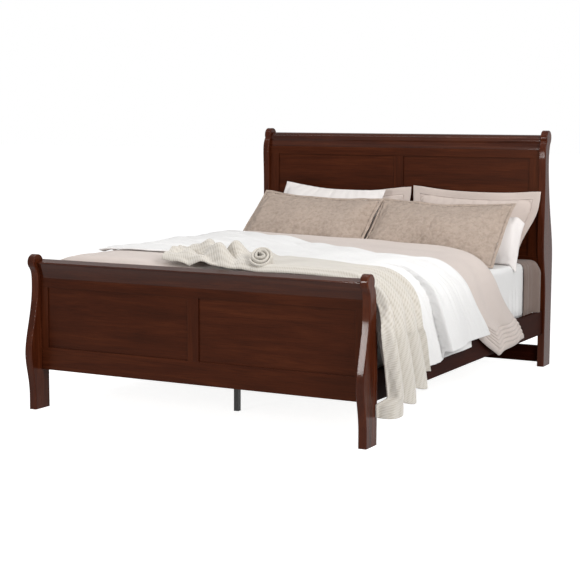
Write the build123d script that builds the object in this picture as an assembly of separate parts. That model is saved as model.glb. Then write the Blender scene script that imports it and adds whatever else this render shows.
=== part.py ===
import os
from math import ceil, cos, radians, sin

from build123d import *

# Dressed queen sleigh bed. Millimetres, +Z up, +Y towards the headboard, origin on the floor
# under the middle support leg. Driving dimensions come first.

# Mattress set that the frame is made for
mattress_width = 1524
mattress_length = 2032
mattress_height = 205
mattress_corner = 60
mattress_edge = 25
foundation_height = 127
foundation_edge = 12
end_clearance = 5
side_clearance = 12

# Sleigh posts
post_thickness = 36
post_round = 5
scroll_round = 2
outer_meet_angle = -38
inner_meet_angle = 205
straight_above_rail = 40
foot_post_depth = 100
foot_post_height = 677
foot_post_lap = 31
foot_scroll_radius = 34
foot_front_straight = 54
foot_belly_z = 250
foot_belly_reach = 26
foot_waist_drop = 166
foot_waist_set = 25
foot_neck_drop = 105
foot_neck_set = 26
foot_back_waist_drop = 197
foot_back_waist_set = 13
foot_back_neck_drop = 122
foot_back_neck_set = 15
head_post_depth = 105
head_post_height = 1205
head_post_setback = 28
head_scroll_radius = 37
head_scroll_set = 7
head_back_straight = 542
head_waist_drop = 205
head_waist_set = 88
head_neck_drop = 127
head_neck_set = 90
head_front_belly_z = 578
head_front_belly_reach = 37
head_front_waist_drop = 181
head_front_waist_reach = 46

# Panel frames between the posts
frame_thickness = 22
panel_thickness = 8
panel_recess = 6
panel_insert = 8
panel_clearance = 0.5
centre_stile_width = 52
foot_stile_width = 36
foot_rail_bottom = 173
foot_rail_height = 98
foot_top_rail_height = 41
head_stile_width = 54
head_rail_bottom = 480
head_rail_height = 90
head_top_rail_height = 42

# Crown rails
foot_crown_drop = 22
foot_crown_height = 81
foot_crown_reach = 27
foot_crown_nose = 5
foot_crown_top_slope = 10
foot_crown_cove_reach = 7
foot_crown_cove_rise = 30.5
foot_crown_back_round = 10
head_crown_drop = 23
head_crown_ledge = 6
head_crown_height = 74
head_crown_roll = 30
head_crown_setback = 38.5
head_crown_cove_reach = 1
head_crown_cove_rise = 13.5
head_crown_front_angle = 205
head_crown_back_angle = -30

# Headboard low stretcher
stretcher_bottom = 20
stretcher_height = 83
stretcher_setback = 30

# Side rails, cleats, slats and support legs
rail_thickness = 24
rail_bottom = 170
rail_height = 119
cleat_width = 24
cleat_height = 25
cleat_drop = 2
cleat_end_gap = 60
slat_width = 89
slat_thickness = 19
slat_end_gap = 2
slat_end_set = 336
leg_side = 22
leg_wall = 1.5
leg_plate_side = 60
leg_plate_thickness = 3
leg_cap_height = 8
leg_cap_plug = 16
leg_cap_clearance = 0.2

# Rail hooks and their pins in the posts
hook_thickness = 3
hook_height = 84
hook_inset = 52
hook_reach = 15
hook_tongue = 22
hook_lip = 8
hook_pin_diameter = 6
hook_clearance = 0.5
hook_pin_length = 24

# Screws
screw_shank = 4
screw_head = 8
screw_head_height = 3
slat_screw_length = 35
cleat_screw_length = 40
cleat_screw_count = 5
leg_screw_length = 16
leg_screw_spacing = 42

# Bedding
sheet_thickness = 1.5
sheet_gap = 0.3
sheet_hem = 8
layer_gap = 0.6
coverlet_loft = 84
coverlet_side = 22
coverlet_crown = 20
coverlet_hem = 186
coverlet_short_hem = 300
blanket_loft = 14
blanket_side = 12
blanket_hem = 252
throw_loft = 24
throw_side = 18
throw_hem = 108
throw_hem_rise = 96
shoulder_reach = 110
shoulder_drop = 130
fold_depth = 26
fold_pitch = 97
fold_knee_share = 0.45
knee_rise = 26
post_gap = 6

# Bedding edges: gaps are from the headboard, reaches from the footboard, X from the middle
coverlet_head_gap = 557
coverlet_turn_x = 250
coverlet_shoulder_gap = 701
coverlet_hem_gap = 306
coverlet_tip_gap = 701
coverlet_short_gap = 866
blanket_left_x = -700
blanket_head_left_reach = 1421
blanket_head_right_reach = 861
blanket_foot_left_reach = 341
blanket_foot_right_reach = 221
blanket_hem_head_reach = 1141
blanket_hem_foot_reach = 421
throw_left_x = -170
throw_left_head_reach = 321
throw_left_foot_reach = 51
throw_knot_x = 255
throw_knot_reach = 93
throw_knot_radius = 62
throw_knot_squash = 0.75
throw_head_near_x = 40
throw_head_near_reach = 421
throw_head_far_x = 460
throw_head_far_reach = 401
throw_shoulder_reach = 351
throw_hem_head_reach = 401

# Pillows: (width, height, thickness), lean from the floor, the lower edge's gap from the
# headboard, centres in X
front_sham = (720, 465, 126)
front_sham_lean = 42
front_sham_gap = 541
front_sham_centres = (-376, 372)
white_pillow = (640, 410, 116)
white_pillow_lean = 58.5
white_pillow_gap = 299
white_pillow_centres = (-330, 436)
rear_sham = (690, 368, 88)
rear_sham_lean = 80
rear_sham_gap = 90
rear_sham_centres = (-285, 418)
pillow_edge = 4
pillow_end_crown = 5
pillow_draw = 14
pillow_rest_gap = 0.3
pillow_stations = (-1, -0.86, -0.5, 0, 0.5, 0.86, 1)

# Sizes that follow from the above
inner_half_length = mattress_length / 2 + end_clearance
inner_half_width = mattress_width / 2 + side_clearance
outer_half_width = inner_half_width + post_thickness
foot_post_inner = inner_half_length - foot_post_lap
head_post_inner = inner_half_length + head_post_setback
foot_crown_bottom = foot_post_height - foot_crown_drop - foot_crown_height
foot_field_height = foot_crown_bottom - foot_top_rail_height - foot_rail_bottom - foot_rail_height
head_crown_bottom = head_post_height - head_crown_drop - head_crown_height
head_field_height = head_crown_bottom - head_top_rail_height - head_rail_bottom - head_rail_height
rail_top = rail_bottom + rail_height
rail_outer = inner_half_width + rail_thickness
cleat_bottom = rail_bottom + cleat_drop
cleat_top = cleat_bottom + cleat_height
slat_top = cleat_top + slat_thickness
foundation_top = slat_top + foundation_height
mattress_top = foundation_top + mattress_height
sheet_half_width = mattress_width / 2 + sheet_gap + sheet_thickness
sheet_top = mattress_top + sheet_gap + sheet_thickness
slat_reach = mattress_length / 2 - slat_end_set
slat_places = [-slat_reach, 0, slat_reach]
slat_names = ["foot", "middle", "head"]
turn_x = sheet_half_width - shoulder_reach
beyond_x = outer_half_width + mattress_width
cover_low_y = post_gap - foot_post_inner
coverlet_head_y = inner_half_length - coverlet_head_gap
coverlet_shoulder_y = inner_half_length - coverlet_shoulder_gap
coverlet_hem_y = inner_half_length - coverlet_hem_gap
coverlet_tip_y = inner_half_length - coverlet_tip_gap
coverlet_short_y = inner_half_length - coverlet_short_gap
blanket_head_left_y = blanket_head_left_reach - inner_half_length
blanket_head_right_y = blanket_head_right_reach - inner_half_length
blanket_foot_left_y = blanket_foot_left_reach - inner_half_length
blanket_foot_right_y = blanket_foot_right_reach - inner_half_length
blanket_hem_head_y = blanket_hem_head_reach - inner_half_length
blanket_hem_foot_y = blanket_hem_foot_reach - inner_half_length
throw_left_head_y = throw_left_head_reach - inner_half_length
throw_left_foot_y = throw_left_foot_reach - inner_half_length
throw_knot_y = throw_knot_reach - inner_half_length
throw_head_near_y = throw_head_near_reach - inner_half_length
throw_head_far_y = throw_head_far_reach - inner_half_length
throw_shoulder_y = throw_shoulder_reach - inner_half_length
throw_hem_head_y = throw_hem_head_reach - inner_half_length
sides = [("left", -1), ("right", 1)]

nodes = {}


def box_between(low, high):
    """A box from its lowest to its highest corner."""
    size = [b - a for a, b in zip(low, high)]
    middle = [(a + b) / 2 for a, b in zip(low, high)]
    return Pos(*middle) * Box(*size)


def prism_x(points, low_x, high_x):
    """A solid with an outline of (y, z) points, from low_x to high_x."""
    face = make_face(Polyline(*points, close=True))
    return extrude(Plane.YZ.offset(low_x) * face, amount=high_x - low_x)


def prism_z(points, low_z, high_z):
    """A solid with an outline of (x, y) points, from low_z to high_z."""
    face = make_face(Polyline(*points, close=True))
    return extrude(Plane.XY.offset(low_z) * face, amount=high_z - low_z)


def on_circle(centre, radius, angle):
    turn = radians(angle)
    return (centre[0] + radius * cos(turn), centre[1] + radius * sin(turn))


def profile_solid(edges, facing, inner, low_x, high_x):
    """Extrudes an outline of (reach, z) edges; reach runs outwards from the bed's inside."""
    face = Plane.YZ.offset(low_x) * make_face(edges)
    solid = extrude(face, amount=high_x - low_x)
    if facing < 0:
        solid = mirror(solid, about=Plane.XZ)
    return Pos(0, facing * inner, 0) * solid


def sleigh_post(edges, facing, inner, side):
    """One post with its long edges eased."""
    low_x = min(side * inner_half_width, side * outer_half_width)
    post = profile_solid(edges, facing, inner, low_x, low_x + post_thickness)
    flat = post.faces().filter_by(Axis.X)
    rims = [edge for face in flat for edge in face.edges()]
    eased = [edge for edge in rims if edge.bounding_box().size.Z > scroll_round]
    return fillet(eased, post_round)


def halfway(a, b):
    return ((a[0] + b[0]) / 2, (a[1] + b[1]) / 2)


def post_outline(depth, centre, radius, outer_points, inner_points):
    """Floor, outer curve, scroll and inner curve; both curves start straight up from the floor."""
    outer_end = on_circle(centre, radius, outer_meet_angle)
    inner_end = on_circle(centre, radius, inner_meet_angle)
    outer = Spline(*outer_points, outer_end, tangents=[(0, 1), (1, 1)])
    inner = Spline(inner_end, *reversed(inner_points), tangents=[(-1, -1), (0, -1)])
    return [
        Line((0, 0), (depth, 0)),
        Line((depth, 0), outer_points[0]),
        outer,
        ThreePointArc(outer_end, (centre[0], centre[1] + radius), inner_end),
        inner,
        Line(inner_points[0], (0, 0)),
    ]


def foot_post_edges():
    """Front S curve with its belly and waist, the scroll on top, and a nearly straight back."""
    depth = foot_post_depth
    height = foot_post_height
    radius = foot_scroll_radius
    belly = (depth + foot_belly_reach, foot_belly_z)
    waist = (depth - foot_waist_set, height - foot_waist_drop)
    neck = (depth - foot_neck_set, height - foot_neck_drop)
    outer = [(depth, foot_front_straight), belly, halfway(belly, waist), waist, neck]
    back_waist = (foot_back_waist_set, height - foot_back_waist_drop)
    back_neck = (foot_back_neck_set, height - foot_back_neck_drop)
    inner = [(0, rail_top + straight_above_rail), back_waist, back_neck]
    return post_outline(depth, (depth - radius, height - radius), radius, outer, inner)


def head_post_edges():
    """Straight behind up to the mattress, then a long S towards the bed and the scroll on top."""
    depth = head_post_depth
    height = head_post_height
    radius = head_scroll_radius
    base = (depth, head_back_straight)
    waist = (depth - head_waist_set, height - head_waist_drop)
    neck = (depth - head_neck_set, height - head_neck_drop)
    belly = (-head_front_belly_reach, head_front_belly_z)
    front_waist = (-head_front_waist_reach, height - head_front_waist_drop)
    inner = [(0, rail_top + straight_above_rail), belly, halfway(belly, front_waist), front_waist]
    outer = [base, halfway(base, waist), waist, neck]
    return post_outline(depth, (head_scroll_set, height - radius), radius, outer, inner)


def frame_box(facing, low_x, high_x, low_z, high_z, front=frame_thickness, back=0):
    """A board of a panel frame; front and back are reaches from the frame's bed side."""
    reach_a = facing * (inner_half_length + back)
    reach_b = facing * (inner_half_length + front)
    low = (low_x, min(reach_a, reach_b), low_z)
    high = (high_x, max(reach_a, reach_b), high_z)
    return box_between(low, high)


def panel_frame(end, facing, seen, stile, bottom, rail, field, top_rail):
    """Rails, stiles and two sunk fields. seen is 1 where the fields face outwards, 0 inwards."""
    half = inner_half_width
    field_low = bottom + rail
    field_high = field_low + field
    face = frame_thickness - panel_recess if seen else panel_recess + panel_thickness
    inner_edge = centre_stile_width / 2
    outer_edge = half - stile
    boards = {
        "bottom_rail": frame_box(facing, -half, half, bottom, field_low),
        "top_rail": frame_box(facing, -half, half, field_high, field_high + top_rail),
        "stile_left": frame_box(facing, -half, -outer_edge, field_low, field_high),
        "stile_right": frame_box(facing, outer_edge, half, field_low, field_high),
        "centre_stile": frame_box(facing, -inner_edge, inner_edge, field_low, field_high),
    }
    for name, side in sides:
        low_x = min(side * inner_edge, side * outer_edge) - panel_insert
        high_x = max(side * inner_edge, side * outer_edge) + panel_insert
        low_z = field_low - panel_insert
        high_z = field_high + panel_insert
        back = face - panel_thickness
        nodes[f"{end}_panel_{name}"] = frame_box(facing, low_x, high_x, low_z, high_z, face, back)
        gap = panel_clearance
        groove = frame_box(
            facing, low_x - gap, high_x + gap, low_z - gap, high_z + gap, face + gap, back - gap
        )
        for board in boards:
            boards[board] = boards[board] - groove
    for board in boards:
        nodes[f"{end}_{board}"] = boards[board]


def foot_crown():
    """Crown that coves outwards to a rounded nose."""
    bottom = foot_crown_bottom
    top = bottom + foot_crown_height
    face = frame_thickness
    lip = face + foot_crown_reach
    nose = foot_crown_nose
    nose_top = top - foot_crown_top_slope
    nose_bottom = nose_top - 2 * nose
    back_round = foot_crown_back_round
    back_middle = on_circle((back_round, top - back_round), back_round, 135)
    cove_middle = (face + foot_crown_cove_reach, bottom + foot_crown_cove_rise)
    edges = [
        Line((0, bottom), (face, bottom)),
        ThreePointArc((face, bottom), cove_middle, (lip - nose, nose_bottom)),
        ThreePointArc((lip - nose, nose_bottom), (lip, nose_bottom + nose), (lip - nose, nose_top)),
        Line((lip - nose, nose_top), (back_round, top)),
        ThreePointArc((back_round, top), back_middle, (0, top - back_round)),
        Line((0, top - back_round), (0, bottom)),
    ]
    return profile_solid(edges, -1, inner_half_length, -inner_half_width, inner_half_width)


def head_crown():
    """Crown that coves up from a ledge into a roll over the back."""
    bottom = head_crown_bottom
    top = bottom + head_crown_height
    roll = head_crown_roll
    centre = (head_crown_setback, top - roll)
    cove_end = on_circle(centre, roll, head_crown_front_angle)
    back_start = on_circle(centre, roll, head_crown_back_angle)
    cove_middle = (head_crown_ledge + head_crown_cove_reach, bottom + head_crown_cove_rise)
    edges = [
        Line((frame_thickness, bottom), (head_crown_ledge, bottom)),
        ThreePointArc((head_crown_ledge, bottom), cove_middle, cove_end),
        ThreePointArc(cove_end, (centre[0], top), back_start),
        Line(back_start, (frame_thickness, bottom)),
    ]
    return profile_solid(edges, 1, inner_half_length, -inner_half_width, inner_half_width)


def screw(length):
    """Flat-headed screw pointing down, the top of its head at the origin."""
    head = Pos(0, 0, -screw_head_height / 2) * Cylinder(screw_head / 2, screw_head_height)
    shank = Pos(0, 0, -length / 2) * Cylinder(screw_shank / 2, length)
    return head + shank


def drive_screws(name, places, length, into):
    """Sets one screw at each place and cuts its hole in the named nodes."""
    bodies = [place * screw(length) for place in places]
    for node in into:
        nodes[node] = nodes[node] - bodies
    nodes[name] = Compound(children=[body.solid() for body in bodies])


def posts_and_panels():
    for name, side in sides:
        nodes[f"foot_post_{name}"] = sleigh_post(foot_post_edges(), -1, foot_post_inner, side)
        nodes[f"head_post_{name}"] = sleigh_post(head_post_edges(), 1, head_post_inner, side)
    panel_frame(
        "foot", -1, 1, foot_stile_width, foot_rail_bottom, foot_rail_height,
        foot_field_height, foot_top_rail_height,
    )
    panel_frame(
        "head", 1, 0, head_stile_width, head_rail_bottom, head_rail_height,
        head_field_height, head_top_rail_height,
    )
    nodes["foot_crown_rail"] = foot_crown()
    nodes["head_crown_rail"] = head_crown()
    stretcher_y = head_post_inner + stretcher_setback
    nodes["head_low_stretcher"] = box_between(
        (-inner_half_width, stretcher_y, stretcher_bottom),
        (inner_half_width, stretcher_y + frame_thickness, stretcher_bottom + stretcher_height),
    )


def rail_hook(side, facing):
    """Steel plate let into a rail end, with two tongues that drop over the pins in the post."""
    seat = head_post_inner if facing > 0 else foot_post_inner
    middle_x = side * (inner_half_width + rail_thickness / 2)
    middle_z = rail_bottom + rail_height / 2
    low_z = middle_z - hook_height / 2
    kerf = hook_clearance

    def plate(inset, reach, low, high, half):
        a = facing * (seat - inset)
        b = facing * (seat + reach)
        return box_between((middle_x - half, min(a, b), low), (middle_x + half, max(a, b), high))

    half = hook_thickness / 2
    hook = plate(hook_inset, 0, low_z, low_z + hook_height, half)
    slot_half = half + kerf
    rail_slot = plate(hook_inset + kerf, kerf, low_z - kerf, low_z + hook_height + kerf, slot_half)
    pins = []
    for tongue_low in (low_z, low_z + hook_height - hook_tongue - hook_lip):
        neck_low = tongue_low + hook_lip
        pin_y = facing * (seat + hook_pin_diameter / 2 + kerf)
        pin_z = neck_low - hook_pin_diameter / 2
        hook += plate(0, hook_reach, neck_low, neck_low + hook_tongue, half)
        hook += plate(-hook_pin_diameter - 2 * kerf, hook_reach, tongue_low, neck_low, half)
        pins.append(
            Pos(middle_x, pin_y, pin_z) * Rot(0, 90, 0)
            * Cylinder(hook_pin_diameter / 2, hook_pin_length)
        )
    pocket = plate(0, hook_reach + kerf, low_z - kerf, low_z + hook_height + kerf, slot_half)
    return hook, rail_slot, pocket, pins


def side_rails():
    length_low = -foot_post_inner
    length_high = head_post_inner
    hooks = []
    pins = []
    for name, side in sides:
        rail_a = side * inner_half_width
        rail_b = side * rail_outer
        rail = box_between(
            (min(rail_a, rail_b), length_low, rail_bottom), (max(rail_a, rail_b), length_high, rail_top)
        )
        for end, facing in (("foot", -1), ("head", 1)):
            hook, rail_slot, pocket, hook_pins = rail_hook(side, facing)
            post = f"{end}_post_{name}"
            rail = rail - rail_slot
            nodes[post] = nodes[post] - pocket - hook_pins
            nodes[f"rail_hook_{end}_{name}"] = hook
            pins += hook_pins
        nodes[f"side_rail_{name}"] = rail
        cleat_a = side * (inner_half_width - cleat_width)
        nodes[f"cleat_{name}"] = box_between(
            (min(cleat_a, rail_a), length_low + cleat_end_gap, cleat_bottom),
            (max(cleat_a, rail_a), length_high - cleat_end_gap, cleat_top),
        )
    nodes["rail_hook_pins"] = Compound(children=[pin.solid() for pin in pins])


def slats_and_legs():
    half = inner_half_width - slat_end_gap
    tube_low = leg_cap_height
    tube_high = cleat_top - leg_plate_thickness
    bore = leg_side - 2 * leg_wall
    plug = bore - 2 * leg_cap_clearance
    for name, place in zip(slat_names, slat_places):
        nodes[f"slat_{name}"] = box_between(
            (-half, place - slat_width / 2, cleat_top), (half, place + slat_width / 2, slat_top)
        )
        tube_middle = (tube_low + tube_high) / 2
        tube_length = tube_high - tube_low
        tube = Pos(0, place, tube_middle) * Box(leg_side, leg_side, tube_length)
        tube -= Pos(0, place, tube_middle) * Box(bore, bore, tube_length)
        plate = Pos(0, place, cleat_top - leg_plate_thickness / 2)
        plate *= Box(leg_plate_side, leg_plate_side, leg_plate_thickness)
        nodes[f"centre_leg_{name}"] = tube + plate
        cap = Pos(0, place, leg_cap_height / 2) * Box(leg_side, leg_side, leg_cap_height)
        cap += Pos(0, place, leg_cap_height + leg_cap_plug / 2) * Box(plug, plug, leg_cap_plug)
        nodes[f"leg_cap_{name}"] = cap


def fasteners():
    cleat_middle = inner_half_width - cleat_width / 2
    slat_seats = [
        Pos(side * cleat_middle, place, slat_top) for place in slat_places for _, side in sides
    ]
    slat_nodes = [f"slat_{name}" for name in slat_names]
    drive_screws("slat_screws", slat_seats, slat_screw_length, slat_nodes + ["cleat_left", "cleat_right"])
    cleat_low = -foot_post_inner + cleat_end_gap
    cleat_span = foot_post_inner + head_post_inner - 2 * cleat_end_gap
    cleat_step = cleat_span / cleat_screw_count
    for name, side in sides:
        seats = []
        for index in range(cleat_screw_count):
            place = cleat_low + (index + 0.5) * cleat_step
            seat = Pos(side * (inner_half_width - cleat_width), place, cleat_bottom + cleat_height / 2)
            seats.append(seat * Rot(0, -90 * side, 0))
        drive_screws(
            f"cleat_screws_{name}", seats, cleat_screw_length, [f"cleat_{name}", f"side_rail_{name}"]
        )
    corner = leg_screw_spacing / 2
    leg_seats = [
        Pos(dx, place + dy, cleat_top - leg_plate_thickness) * Rot(180, 0, 0)
        for place in slat_places for dx in (-corner, corner) for dy in (-corner, corner)
    ]
    leg_nodes = [f"centre_leg_{name}" for name in slat_names]
    drive_screws("leg_screws", leg_seats, leg_screw_length, leg_nodes + slat_nodes)


def eased_block(half_x, half_y, low_z, high_z, corner, edge):
    block = box_between((-half_x, -half_y, low_z), (half_x, half_y, high_z))
    block = fillet(block.edges().filter_by(Axis.Z), corner)
    rims = block.faces().sort_by(Axis.Z)
    return fillet(rims[0].edges() + rims[-1].edges(), edge)


def mattress_set():
    half_x = mattress_width / 2
    half_y = mattress_length / 2
    nodes["foundation"] = eased_block(
        half_x, half_y, slat_top, foundation_top, mattress_corner, foundation_edge
    )
    nodes["mattress"] = eased_block(
        half_x, half_y, foundation_top, mattress_top, mattress_corner, mattress_edge
    )
    inside = sheet_gap
    outside = sheet_gap + sheet_thickness
    hem_z = foundation_top + mattress_edge + sheet_hem
    shell = eased_block(
        half_x + outside, half_y + outside, foundation_top, mattress_top + outside,
        mattress_corner + outside, mattress_edge + outside,
    )
    hollow = eased_block(
        half_x + inside, half_y + inside, foundation_top - mattress_edge, mattress_top + inside,
        mattress_corner + inside, mattress_edge + inside,
    )
    below = box_between(
        (-mattress_width, -mattress_length, 0), (mattress_width, mattress_length, hem_z)
    )
    nodes["fitted_sheet"] = shell - hollow - below


def drape_side(offset, rise, corner_in, corner_z, hem_z, fold, side):
    """Hem, knee, shoulder low and shoulder high of one side of a hanging layer, as (x, z)."""
    top = sheet_top + rise
    low_x = rail_outer + post_gap + offset
    hem = (side * (low_x + fold), hem_z)
    knee = (side * (low_x + fold * fold_knee_share), rail_top + knee_rise)
    shoulder_low = (side * (sheet_half_width + offset), corner_z)
    shoulder_high = (side * (sheet_half_width - corner_in), top)
    return hem, knee, shoulder_low, shoulder_high


def shoulder_middle(low, high):
    lean = cos(radians(45))
    return (high[0] + (low[0] - high[0]) * lean, low[1] + (high[1] - low[1]) * lean)


def drape_path(offset, rise, crown, corner_in, corner_z, hem_z, fold):
    """Edges of one face of a layer, from the left hem over the bed to the right hem."""
    left = drape_side(offset, rise, corner_in, corner_z, hem_z, fold, -1)
    right = drape_side(offset, rise, corner_in, corner_z, hem_z, fold, 1)
    crown_top = (0, sheet_top + rise + crown)
    flat = Line(left[3], right[3])
    top = ThreePointArc(left[3], crown_top, right[3]) if crown else flat
    edges = [
        Line(left[0], left[1]),
        Line(left[1], left[2]),
        ThreePointArc(left[2], shoulder_middle(left[2], left[3]), left[3]),
        top,
        ThreePointArc(right[3], shoulder_middle(right[2], right[3]), right[2]),
        Line(right[2], right[1]),
        Line(right[1], right[0]),
    ]
    return edges, left[0], right[0]


def drape_layer(under, over, hem_z, low_y, high_y):
    """A closed cloth layer with folds, lofted along the bed; layers share the places of folds."""
    count = ceil((high_y - low_y) / fold_pitch)
    sections = []
    for index in range(count + 1):
        place = low_y + index * fold_pitch
        fold = fold_depth * (index % 2)
        inner, inner_left, inner_right = drape_path(*under, hem_z, fold)
        outer, outer_left, outer_right = drape_path(*over, hem_z, fold)
        ends = [Line(inner_left, outer_left), Line(outer_right, inner_right)]
        face = make_face(inner + outer + ends)
        sections.append(Plane.XZ.offset(-place) * face)
    return loft(sections, ruled=True)


def bedding_faces():
    """Faces between the layers as (offset, rise, crown, corner in, corner height)."""
    corner_z = sheet_top + coverlet_loft - shoulder_drop
    on_sheet_z = sheet_top - mattress_edge
    levels = [(layer_gap, layer_gap, 0, mattress_edge, on_sheet_z)]
    offset = coverlet_side
    rise = coverlet_loft
    for side, loft_up in ((0, 0), (blanket_side, blanket_loft), (throw_side, throw_loft)):
        offset += side
        rise += loft_up
        levels.append((offset, rise, coverlet_crown, shoulder_reach, corner_z))
        offset += layer_gap
        rise += layer_gap
        levels.append((offset, rise, coverlet_crown, shoulder_reach, corner_z))
    return levels


def cut_plan(layer, points):
    """Takes away what lies inside an outline of (x, y) points, at every height."""
    return layer - prism_z(points, 0, head_post_height)


def cut_right_side(layer, points):
    """Takes away what lies inside an outline of (y, z) points, on the right side alone."""
    return layer - prism_x(points, turn_x, beyond_x)


def make_coverlet(under, over):
    """Covers the bed up to the pillows; on the right its head corner hangs lower than the rest."""
    layer = drape_layer(under, over, coverlet_hem, cover_low_y, coverlet_hem_y)
    layer = cut_plan(layer, [
        (-beyond_x, coverlet_head_y), (coverlet_turn_x, coverlet_head_y),
        (turn_x, coverlet_shoulder_y), (turn_x, inner_half_length), (-beyond_x, inner_half_length),
    ])
    layer = cut_right_side(layer, [
        (coverlet_shoulder_y, sheet_top), (coverlet_hem_y, coverlet_hem + fold_depth),
        (coverlet_hem_y, 0), (inner_half_length, 0), (inner_half_length, head_post_height),
        (coverlet_shoulder_y, head_post_height),
    ])
    return cut_right_side(layer, [
        (-inner_half_length, 0), (-inner_half_length, coverlet_short_hem),
        (coverlet_short_y, coverlet_short_hem), (coverlet_tip_y, coverlet_hem), (coverlet_tip_y, 0),
    ])


def make_blanket(under, over):
    """Lies across the bed at a slant and hangs on the right side."""
    layer = drape_layer(under, over, blanket_hem, cover_low_y, blanket_head_left_y)
    layer = cut_plan(layer, [
        (-beyond_x, blanket_head_left_y), (blanket_left_x, blanket_head_left_y),
        (turn_x, blanket_head_right_y), (turn_x, inner_half_length), (-beyond_x, inner_half_length),
    ])
    layer = cut_plan(layer, [
        (-beyond_x, blanket_foot_left_y), (blanket_left_x, blanket_foot_left_y),
        (turn_x, blanket_foot_right_y), (turn_x, -inner_half_length), (-beyond_x, -inner_half_length),
    ])
    layer = cut_plan(layer, [
        (-beyond_x, -inner_half_length), (blanket_left_x, -inner_half_length),
        (blanket_left_x, inner_half_length), (-beyond_x, inner_half_length),
    ])
    layer = cut_right_side(layer, [
        (blanket_head_right_y, sheet_top), (blanket_hem_head_y, blanket_hem),
        (blanket_hem_head_y, 0), (inner_half_length, 0), (inner_half_length, head_post_height),
        (blanket_head_right_y, head_post_height),
    ])
    return cut_right_side(layer, [
        (blanket_foot_right_y, sheet_top), (blanket_hem_foot_y, blanket_hem),
        (blanket_hem_foot_y, 0), (-inner_half_length, 0), (-inner_half_length, head_post_height),
        (blanket_foot_right_y, head_post_height),
    ])


def make_throw(under, over):
    """Lies on the foot end, knotted in the middle, and hangs beside the right foot post."""
    layer = drape_layer(under, over, throw_hem, cover_low_y, throw_head_near_y)
    layer = cut_plan(layer, [
        (throw_left_x, throw_left_head_y), (throw_head_near_x, throw_head_near_y),
        (throw_head_far_x, throw_head_far_y), (turn_x, throw_shoulder_y),
        (turn_x, inner_half_length), (throw_left_x, inner_half_length),
    ])
    layer = cut_plan(layer, [
        (-beyond_x, -inner_half_length), (turn_x, -inner_half_length), (turn_x, cover_low_y),
        (throw_left_x, throw_left_foot_y), (throw_left_x, inner_half_length),
        (-beyond_x, inner_half_length),
    ])
    layer = cut_right_side(layer, [
        (throw_shoulder_y, sheet_top + coverlet_loft), (throw_hem_head_y, throw_hem + throw_hem_rise),
        (throw_hem_head_y, 0), (inner_half_length, 0), (inner_half_length, head_post_height),
        (throw_shoulder_y, head_post_height),
    ])
    knot_floor = sheet_top + under[1] + coverlet_crown
    knot = scale(Sphere(throw_knot_radius), by=(1, 1, throw_knot_squash))
    knot = Pos(throw_knot_x, throw_knot_y, knot_floor + throw_loft / 2) * knot
    knot -= box_between(
        (-beyond_x, -inner_half_length, 0), (beyond_x, inner_half_length, knot_floor)
    )
    return layer + knot


def bedding():
    faces = bedding_faces()
    nodes["coverlet"] = make_coverlet(faces[0], faces[1])
    nodes["blanket"] = make_blanket(faces[2], faces[3])
    nodes["throw"] = make_throw(faces[4], faces[5])


def pillow(size):
    """A filled pillow: crowned faces that thin to the seam, with its long sides drawn in."""
    width, height, thickness = size
    sections = []
    for share in pillow_stations:
        fill = (1 - share ** 4) ** 0.5
        crown = pillow_end_crown + (thickness / 2 - pillow_end_crown) * fill
        reach = height / 2 - pillow_draw * (1 - share ** 2)
        edges = [
            ThreePointArc((-reach, pillow_edge), (0, crown), (reach, pillow_edge)),
            Line((reach, pillow_edge), (reach, -pillow_edge)),
            ThreePointArc((reach, -pillow_edge), (0, -crown), (-reach, -pillow_edge)),
            Line((-reach, -pillow_edge), (-reach, pillow_edge)),
        ]
        sections.append(Plane.YZ.offset(share * width / 2) * make_face(edges))
    return loft(sections)


def pillows():
    sets = [
        ("front_sham", front_sham, front_sham_lean, front_sham_gap, front_sham_centres),
        ("white_pillow", white_pillow, white_pillow_lean, white_pillow_gap, white_pillow_centres),
        ("rear_sham", rear_sham, rear_sham_lean, rear_sham_gap, rear_sham_centres),
    ]
    for name, size, lean, gap, centres in sets:
        half = size[1] / 2
        foot_z = sheet_top + pillow_rest_gap + pillow_edge * cos(radians(lean))
        middle_y = inner_half_length - gap + half * cos(radians(lean))
        middle_z = foot_z + half * sin(radians(lean))
        for (side_name, _), centre in zip(sides, centres):
            place = Pos(centre, middle_y, middle_z) * Rot(lean, 0, 0)
            nodes[f"{name}_{side_name}"] = place * pillow(size)


posts_and_panels()
side_rails()
slats_and_legs()
fasteners()
mattress_set()
bedding()
pillows()

os.makedirs("parts", exist_ok=True)
for name, shape in nodes.items():
    export_step(shape, f"parts/{name}.step")
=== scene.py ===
from math import cos, pi, radians, sin

import bmesh
import bpy
import numpy as np
from mathutils import Matrix, Vector


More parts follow.
